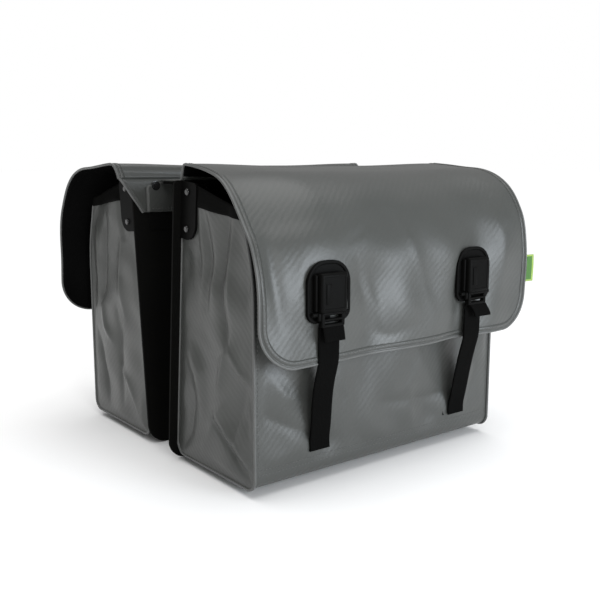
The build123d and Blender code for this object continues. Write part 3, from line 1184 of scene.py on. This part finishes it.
def bevelled(
    bm: bmesh.types.BMesh, edges: Sequence[bmesh.types.BMEdge], offset: float, segments: int
) -> None:
    """Rounds edges of a bmesh.

    Args:
        bm: The shape.
        edges: The edges to round.
        offset: How far back the rounding starts.
        segments: How many faces it has.
    """
    bmesh.ops.bevel(
        bm,
        geom=list(edges),
        offset=offset,
        offset_type="OFFSET",
        segments=segments,
        affect="EDGES",
        profile=0.5,
        material=-1,
        clamp_overlap=True,
    )


def block(size: Triple, place: Triple, edge: float, segments: int = 3) -> bmesh.types.BMesh:
    """A rectangular block with rounded edges.

    Args:
        size: Its three sides.
        place: Its middle.
        edge: The rounding of every edge.
        segments: How many faces each rounding has.

    Returns:
        The block.
    """
    bm = bmesh.new()
    bmesh.ops.create_cube(bm, size=1.0, matrix=Matrix.Translation(place) @ Matrix.Diagonal((*size, 1.0)))
    bevelled(bm, bm.edges[:], edge, segments)
    return bm


def merge(into: bmesh.types.BMesh, part: bmesh.types.BMesh) -> None:
    """Adds a part to a bmesh and frees it."""
    mesh = bpy.data.meshes.new("part")
    part.to_mesh(mesh)
    part.free()
    into.from_mesh(mesh)
    bpy.data.meshes.remove(mesh)


@dataclass
class BackWall(BagPart):
    """What stands behind a bag: board, brackets, screws, and the cloth fixed to the board."""

    gap_top: float
    lean: float
    bridge_half: float
    hanger_half: float
    lid_middle: float
    hanger_depth: float = 36 * MM
    strip_drop: float = 47.5 * MM
    strip_size: Triple = (344 * MM, 1.8 * MM, 23 * MM)

    def wall_point(self, along: float, off: float) -> Corner:
        """Reach and height, in millimetres, of a point up the wall and off it."""
        sine, cosine = math.sin(self.lean), math.cos(self.lean)
        return self.gap_top / 2 / MM + along * sine - off * cosine, along * cosine + off * sine

    def build(self, frame: dict) -> None:
        """Dresses the CAD pieces and builds the cloth ones."""
        for part, finish in (
            ("back_board", BOARD),
            ("base_board", BOARD),
            ("left_bracket", MOULDED),
            ("right_bracket", MOULDED),
            ("bracket_screws", SCREW),
            ("bridge_screws", SCREW),
            ("latch_backings", BOARD),
            ("latch_screws", SCREW),
        ):
            dress(frame, self.name(part), finish)
        self.build_strip()
        self.build_lid_back()
        self.build_hanger()

    def build_strip(self) -> None:
        """Builds the stiffening strip across the board, facing the other bag."""
        reach, height = self.wall_point(-self.strip_drop / MM, 3.6)
        bm = block(self.strip_size, (0.0, 0.0, 0.0), 0.7 * MM)
        turn = Matrix.Rotation(-self.side.value * self.lean, 4, "X")
        place = Matrix.Translation((0.0, self.side.value * reach * MM, height * MM))
        bmesh.ops.transform(bm, matrix=place @ turn, verts=bm.verts)
        settle(object_from(self.name("board_strip"), bm, 0.6), BAND, self.name("bag"))

    def build_lid_back(self) -> None:
        """Builds the lid's cloth where it is sewn down on the board and folds up into the lid."""
        profile = Profile(
            (
                self.wall_point(-36.5, 4.7),
                self.wall_point(3.0, 4.7),
                self.wall_point(8.0, 2.9),
                self.wall_point(16.0, 2.9),
            ),
            (6, 6),
        )
        waves = Undulation(31, 0.5)

        def half(down: np.ndarray) -> np.ndarray:
            """The cloth widens upwards."""
            return 170 * MM + (30 * MM) * np.clip(down / (46 * MM), 0.0, 1.0)

        def relief(along: np.ndarray, down: np.ndarray) -> np.ndarray:
            """A slight waviness."""
            return waves.relief(along / MM, down / MM) * 0.3

        sheet = BentSheet(self.side, profile, relief, self.lid_middle)
        back = sheet.patch(self.name("lid_back"), rectangle(half, profile.length), 60, 24)
        settle(back, TARPAULIN, None, [self.name("rear_strip")])
        thicken(back, 1.3 * MM)
        bag, flap = self.name("bag"), self.name("flap")
        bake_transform(back)
        self.name("back_board")
        edge = np.linspace(0.0, 44 * MM, 16)
        for end in End:
            line = sheet.place(end.value * (half(edge) + 0.4 * MM), edge, -0.4 * MM)
            cord = tube(self.name(f"lid_back_{end.word}_piping"), line, 1.7 * MM)
            settle(cord, PIPING)
            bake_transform(cord)

    def build_hanger(self) -> None:
        """Builds the bridge's cloth where it folds over the bridge's edge and hangs on the board."""
        profile = Profile(((46.0, 4.4), (57.9, 4.0), self.wall_point(-self.hanger_depth / MM, 5.5)), (3.5,))
        waves = Undulation(41, 0.8)

        def half(down: np.ndarray) -> np.ndarray:
            """As wide as the bridge until it is past the fold, then as wide as the hanger."""
            wider = smooth((down - 13 * MM) / (5 * MM))
            return self.bridge_half + (self.hanger_half - self.bridge_half) * wider

        def relief(along: np.ndarray, down: np.ndarray) -> np.ndarray:
            """A slight waviness of the hanging part."""
            return waves.relief(along / MM, down / MM) * 0.3 * smooth((down - 20 * MM) / (10 * MM))

        sheet = BentSheet(self.side, profile, relief)
        hanger = sheet.patch(
            self.name("bridge_fold"),
            rectangle(half, profile.length),
            70,
            30,
        )
        settle(hanger, TARPAULIN, None, [self.name("hanger")])
        thicken(hanger, 1.3 * MM, 0.0)
        self.name("bag")
        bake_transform(hanger)
        along = np.arange(-self.hanger_half + 6 * MM, self.hanger_half - 6 * MM, 4.5 * MM)
        runs = [sheet.row(along, profile.length - 4 * MM, -0.9 * MM)]
        sewn = settle(stitches(self.name("bridge_fold_stitching"), runs), THREAD)
        self.name("bag")
        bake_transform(sewn)


def dress(frame: dict, node: str, finish: Finish) -> None:
    """Gives a CAD node its finish.

    Args:
        frame: The loaded frame.
        node: The node's name.
        finish: What it is covered with.
    """
    materials = frame["nodes"][node].data.materials
    materials.clear()
    materials.append(finish.material())
    LOG.info("node %s: %s", node, finish.name)


@dataclass
class Bridge:
    """The bridge that lies on the carrier: cloth over a stiffener."""

    half_length: float
    half_width: float
    top: float

    def build(self, frame: dict) -> None:
        """Builds the cloth cover and dresses what it lies on."""
        dress(frame, "bridge_lining", LINING)
        dress(frame, "bridge_stiffener", BOARD)
        profile = Profile(((-50, self.top / MM), (0, self.top / MM + 0.01), (50, self.top / MM)), (400,))
        sheet = BentSheet(Side.FAR, profile, lambda along, down: 0.0003 * np.sin(along * 40 + down * 30))
        cover = sheet.patch(
            "bridge_cover",
            rectangle(self.half_length, profile.length),
            70,
            24,
        )
        settle(cover, TARPAULIN, "bridge", ["bridge_panel"])
        thicken(cover, 1.2 * MM)
        runs = []
        for inset in (5 * MM, profile.length - 5 * MM):
            along = np.arange(-self.half_length + 6 * MM, self.half_length - 6 * MM, 4.5 * MM)
            runs.append(sheet.row(along, inset, 0.1 * MM))
        settle(stitches("bridge_stitching", runs), THREAD, "bridge")


@dataclass
class Buckle:
    """One strap's buckle and webbing: plate on the lid, clip in the plate, webbing down to the bag."""

    side: Side
    end: End
    centre: float
    front: float
    height: float
    half_width: float
    half_height: float
    clip_back: float
    clip_low: float
    clip_high: float
    wall: BagBody
    tail_sway: float = 0.0
    foot_shift: float = 0.0
    plate: float = 3.5 * MM
    top_radius: float = 25 * MM
    foot_radius: float = 12 * MM
    clip_base: float = 16 * MM
    web_half: float = 14 * MM
    web: float = 1.6 * MM

    def name(self, part: str) -> str:
        """A piece's full name."""
        return f"{self.side.word}_{self.end.word}_{part}"

    def finish_shape(self, name: str, bm: bmesh.types.BMesh) -> bpy.types.Object:
        """Moves a shape from the buckle's own axes to its place.

        Args:
            name: The piece's name.
            bm: A shape drawn x across, y out of the lid and z up, about the plate's middle.

        Returns:
            The placed piece.
        """
        place = Matrix.Translation((self.centre, self.side.value * self.front, self.height))
        facing = Matrix.Diagonal((1.0, self.side.value, 1.0, 1.0))
        bmesh.ops.transform(bm, matrix=place @ facing, verts=bm.verts)
        bmesh.ops.recalc_face_normals(bm, faces=bm.faces)
        return object_from(name, bm, 0.7)

    def build(self) -> None:
        """Builds the plate, the clip and the webbing."""
        self.build_plate()
        self.build_clip()
        self.build_webbing()

    def build_plate(self) -> None:
        """Builds the round-topped plate with its raised rim and two rails."""
        width, tall, deep = 2 * self.half_width, 2 * self.half_height, self.plate
        bm = bmesh.new()
        cube = Matrix.Translation((0, deep / 2, 0)) @ Matrix.Diagonal((width, deep, tall, 1.0))
        bmesh.ops.create_cube(bm, size=1.0, matrix=cube)
        for upper, radius, segments in ((True, self.top_radius, 14), (False, self.foot_radius, 8)):
            corners = [
                e
                for e in bm.edges
                if abs(e.verts[0].co.y - e.verts[1].co.y) > deep / 2
                and (e.verts[0].co.z > tall / 2 - MM) == upper
                and abs(e.verts[0].co.z) > tall / 2 - MM
                and abs(e.verts[0].co.x) > width / 2 - MM
            ]
            bevelled(bm, corners, radius, segments)
        bmesh.ops.remove_doubles(bm, verts=bm.verts, dist=0.02 * MM)
        face = max(bm.faces, key=lambda f: f.calc_center_median().y)
        for inset in (0.9 * MM, 2.6 * MM, 0.8 * MM):
            bmesh.ops.inset_region(bm, faces=[face], thickness=inset, depth=0.0)
        bmesh.ops.translate(bm, vec=(0, -1.5 * MM, 0), verts=face.verts)
        outline = [
            e for e in bm.edges if all(abs(v.co.y - deep) < 0.01 * MM for v in e.verts) and e.is_manifold
        ]
        outer = [e for e in outline if any(abs(f.normal.y) < 0.5 for f in e.link_faces)]
        bevelled(bm, outer, 0.8 * MM, 3)
        for sign in (-1, 1):
            merge(bm, block((3 * MM, 6.0 * MM, 39 * MM), (sign * 20.1 * MM, 4.4 * MM, -0.5 * MM), 1.1 * MM))
        piece = self.finish_shape(self.name("latch_plate"), bm)
        replaced = [f"{self.side.word}_{self.end.word}_latch"]
        settle(piece, MOULDED, f"{self.side.word}_flap", replaced)

    def build_clip(self) -> None:
        """Builds the raised block, its prongs and the ladder whose lowest bar holds the webbing."""
        low, high = self.clip_low - self.height, self.clip_high - self.height
        back = self.clip_back - self.front
        base_top = low + self.clip_base
        middle = (base_top + high) / 2
        bm = block((36 * MM, 9 * MM, high - base_top), (0, back + 4.5 * MM, middle), 2.8 * MM, 4)
        bmesh.ops.recalc_face_normals(bm, faces=bm.faces)
        front = max(bm.faces, key=lambda f: (round(f.calc_center_median().y, 5), f.calc_area()))
        bmesh.ops.inset_region(bm, faces=[front], thickness=1.6 * MM, depth=0.0)
        bmesh.ops.inset_region(bm, faces=[front], thickness=0.8 * MM, depth=0.0)
        bmesh.ops.translate(bm, vec=(0, -0.5 * MM, 0), verts=front.verts)
        merge(bm, block((7 * MM, 1.4 * MM, 22 * MM), (-8 * MM, back + 8.7 * MM, middle - MM), 0.6 * MM))
        for sign in (-1, 1):
            side = sign * MM
            ladder_side = (13.6 * side, back + 3.5 * MM, low + 8.2 * MM)
            prong_tip = (21.0 * side, back + 2.0 * MM, base_top - 1.6 * MM)
            prong_root = (16.6 * side, back + 3.0 * MM, base_top - 4 * MM)
            merge(bm, block((4.4 * MM, 6.4 * MM, 15.5 * MM), ladder_side, 1.3 * MM))
            merge(bm, block((9 * MM, 3.4 * MM, 4.2 * MM), prong_tip, 1.2 * MM))
            merge(bm, block((5 * MM, 4.6 * MM, 9 * MM), prong_root, 1.3 * MM))
        for z, thick in ((14.8, 3.6), (8.4, 2.6), (2.0, 3.6)):
            bar = (0, back + 3.6 * MM, low + z * MM)
            merge(bm, block((29 * MM, 6.2 * MM, thick * MM), bar, 1.1 * MM))
        piece = self.finish_shape(self.name("clip_body"), bm)
        settle(piece, MOULDED, self.name("strap"), [self.name("clip")])

    def build_webbing(self) -> None:
        """Builds the webbing: sewn down, up to the clip, round its lower bar and back as a tail."""
        body = self.wall
        x = np.array([self.centre])
        top = float(body.profile.points[0, 1])

        def wall_reach(height: float) -> float:
            """The bag's wall at a height, in millimetres."""
            point = body.wrap.place(x, np.array([top - height * MM]))
            return abs(float(point[0, 1])) / MM

        out = self.clip_back / MM
        low = self.clip_low / MM
        profile = Profile(
            (
                (wall_reach(-293) + 1.8, -293),
                (wall_reach(-281) + 2.2, -281),
                (out - 1.4, low - 40),
                (out - 1.0, low + 1.6),
                (out + 5.6, low + 1.2),
                (out + 6.6, low - 15.0),
            ),
            (30, 60, 2.2, 2.2),
        )
        edge = profile.length

        def relief(along: np.ndarray, down: np.ndarray) -> np.ndarray:
            """A slight curl of the tail."""
            return 1.6 * MM * smooth((down - edge + 20 * MM) / (20 * MM))

        sheet = BentSheet(self.side, profile, relief, self.centre)
        sway, half = self.tail_sway, self.web_half

        def region(across: np.ndarray, share: np.ndarray) -> tuple[np.ndarray, np.ndarray]:
            """Flat coordinates over the webbing, its tail turned aside."""
            down = share * edge
            aside = sway * smooth((down - edge + 22 * MM) / (22 * MM))
            return (2 * across - 1) * half + aside + self.foot_shift * (1 - smooth(down / (95 * MM))), down

        web = sheet.patch(self.name("webbing"), region, 10, 150)
        settle(web, WEBBING, None, [self.name("strap")])
        thicken(web, self.web, 0.0)
        base = (wall_reach(-282) + 1.2) * MM
        self.name("strap")
        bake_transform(web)
        self.name("clip_body")
        sewn = BentSheet(self.side, profile, lambda along, down: 0.0 * along, self.centre + self.foot_shift)
        across = np.arange(-half + 2 * MM, half - 1.5 * MM, 3.4 * MM)
        runs = [sewn.row(across, inset, 1.0 * MM) for inset in (2.5 * MM, 9.5 * MM)]
        diagonal = np.linspace(0.0, 1.0, 8)
        for sign in (-1, 1):
            slant = sign * (2 * diagonal - 1) * (half - 2 * MM)
            runs.append(sewn.place(slant, (2.5 + 7 * diagonal) * MM, 1.0 * MM))
        sewing = stitches(self.name("webbing_stitching"), runs, 0.35 * MM)
        settle(sewing, BAND, f"{self.side.word}_bag")


@dataclass
class SideTag:
    """The folded label on the near lid's right edge."""

    low: Vector
    high: Vector

    def build(self) -> None:
        """Builds the label, slightly curled."""
        centre = (self.low + self.high) / 2
        half_width, half_height = (self.high.x - self.low.x) / 2 + MM, (self.high.z - self.low.z) / 2
        profile = Profile(
            ((-self.high.y / MM, self.high.z / MM), (-self.high.y / MM + 0.2, self.low.z / MM)), ()
        )

        def curl(along: np.ndarray, down: np.ndarray) -> np.ndarray:
            """The label's slight curl."""
            return 0.9 * MM * np.sin(along * 150) + 0.4 * MM * np.sin(down * 120)

        sheet = BentSheet(Side.NEAR, profile, curl, centre.x)
        label = sheet.patch("near_label", rectangle(half_width, profile.length), 12, 24)
        for loop in label.data.uv_layers[CLOTH_UV].data:
            loop.uv[1] -= half_height
        settle(label, TAG, "near_flap", ["near_side_tag"])
        thicken(label, 1.2 * MM, 0.0)


# ---------------------------------------------------------------- studio


@dataclass
class Studio:
    """The camera, the lights and the pale floor."""

    floor_height: float
    eye: Triple = (-0.6624, -0.8901, 0.026)
    gaze: Triple = (0.6045, 0.7793, -0.1652)
    lens: float = 49.08

    def build(self) -> None:
        """Sets up the whole studio."""
        self.build_camera()
        self.build_floor()
        self.build_world()
        self.add_light("key_light", (0.62, -2.0, 0.12), 0.9, 26.0, (0.86, 0.93, 1.0))
        self.add_light("fill_light", (-0.7, -2.2, 0.75), 0.6, 13.0, (1.0, 1.0, 1.0))
        self.add_sun()
        bpy.context.scene.view_settings.view_transform = "Standard"

    def build_camera(self) -> None:
        """Adds the camera at three-quarters from the left."""
        data = bpy.data.cameras.new("camera")
        data.lens, data.sensor_width = self.lens, 36.0
        data.clip_start, data.clip_end = 0.01, 100.0
        camera = bpy.data.objects.new("camera", data)
        camera.location = self.eye
        camera.rotation_mode = "QUATERNION"
        camera.rotation_quaternion = Vector(self.gaze).to_track_quat("-Z", "Y")
        bpy.context.scene.collection.objects.link(camera)
        bpy.context.scene.camera = camera

    def build_floor(self) -> None:
        """Adds the floor under the boards' lower edges."""
        bm = bmesh.new()
        place = Matrix.Translation((0, 0, self.floor_height - 0.5 * MM))
        bmesh.ops.create_grid(bm, x_segments=4, y_segments=4, size=30.0, matrix=place)
        floor = object_from("studio_floor", bm)
        floor.data.materials.append(FLOOR.material())
        floor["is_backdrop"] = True

    def build_world(self) -> None:
        """Adds even white light from all round, in front of a white backdrop."""
        world = bpy.data.worlds.new("studio_world")
        world.use_nodes = True
        nodes, links = world.node_tree.nodes, world.node_tree.links
        background, output = nodes["Background"], nodes["World Output"]
        backdrop = nodes.new("ShaderNodeBackground")
        choice = nodes.new("ShaderNodeMixShader")
        path = nodes.new("ShaderNodeLightPath")
        for shader, strength in ((background, 0.4), (backdrop, 1.0)):
            shader.inputs["Color"].default_value = (1.0, 1.0, 1.0, 1.0)
            shader.inputs["Strength"].default_value = strength
        links.new(path.outputs["Is Camera Ray"], choice.inputs["Fac"])
        links.new(background.outputs["Background"], choice.inputs[1])
        links.new(backdrop.outputs["Background"], choice.inputs[2])
        links.new(choice.outputs["Shader"], output.inputs["Surface"])
        bpy.context.scene.world = world

    def add_sun(self) -> None:
        """Adds broad even light from overhead, which whitens the floor."""
        data = bpy.data.lights.new("overhead_light", "SUN")
        data.energy, data.angle = 2.2, math.radians(70)
        sun = bpy.data.objects.new("overhead_light", data)
        bpy.context.scene.collection.objects.link(sun)

    def add_light(self, name: str, place: Triple, size: float, power: float, tint: Colour) -> None:
        """Adds a soft square light aimed at the bag.

        Args:
            name: The light's name.
            place: Where it stands.
            size: Its side.
            power: In watts.
            tint: Its colour.
        """
        data = bpy.data.lights.new(name, "AREA")
        data.shape, data.size, data.energy = "SQUARE", size, power
        data.color = tint
        light = bpy.data.objects.new(name, data)
        light.location = place
        aim = Vector((0.0, -0.1, -0.15)) - Vector(place)
        light.rotation_mode = "QUATERNION"
        light.rotation_quaternion = aim.to_track_quat("-Z", "Y")
        bpy.context.scene.collection.objects.link(light)


# ---------------------------------------------------------------- the whole pannier


def build_bag(frame: dict, side: Side) -> None:
    """Builds one bag with its lid, straps and back wall.

    Args:
        frame: The loaded frame.
        side: Which bag.
    """
    word, k = side.word, side.value
    wrap_low, wrap_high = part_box(f"{word}_body_wrap")
    outer = max(abs(wrap_low.y), abs(wrap_high.y))
    body = BagBody(side, wrap_high.x, outer, wrap_low.z, wrap_high.z, GAP_TOP, LEAN)
    body.build()
    flap_low, flap_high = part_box(f"{word}_flap")
    front = max(abs(flap_low.y), abs(flap_high.y))
    middle = (flap_low.x + flap_high.x) / 2
    Lid(side, flap_high.x - middle, front, flap_low.z, LID_FOOT, middle).build()
    _, bridge_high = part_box("bridge_panel")
    _, hanger_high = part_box(f"{word}_hanger")
    BackWall(side, GAP_TOP, LEAN, bridge_high.x, hanger_high.x, middle).build(frame)
    for end in End:
        low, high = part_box(f"{word}_{end.word}_latch")
        clip_low, clip_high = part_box(f"{word}_{end.word}_clip")
        clip_back = min(abs(clip_low.y), abs(clip_high.y))
        swept = (side is Side.NEAR) == (end is End.RIGHT)
        Buckle(
            side,
            end,
            centre=(low.x + high.x) / 2,
            front=front,
            height=(low.z + high.z) / 2,
            half_width=(high.x - low.x) / 2,
            half_height=(high.z - low.z) / 2,
            clip_back=clip_back,
            clip_low=clip_low.z,
            clip_high=clip_high.z,
            wall=body,
            tail_sway=9 * MM if swept else 0.5 * MM,
            foot_shift=-k * (7 if swept else 12) * MM,
        ).build()
    dress(frame, f"{word}_strap_anchors", WEBBING)


def main() -> None:
    """Builds the pannier round the CAD frame."""
    logging.basicConfig(level=logging.INFO, format="%(name)s %(message)s")
    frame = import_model()
    cad_box = [list(corner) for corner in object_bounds()]
    Studio(cad_box[0][2]).build()
    _, panel_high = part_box("bridge_panel")
    Bridge(panel_high.x, panel_high.y, panel_high.z).build(frame)
    for side in Side:
        build_bag(frame, side)
    SideTag(*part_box("near_side_tag")).build()


if __name__ == "__main__":
    main()
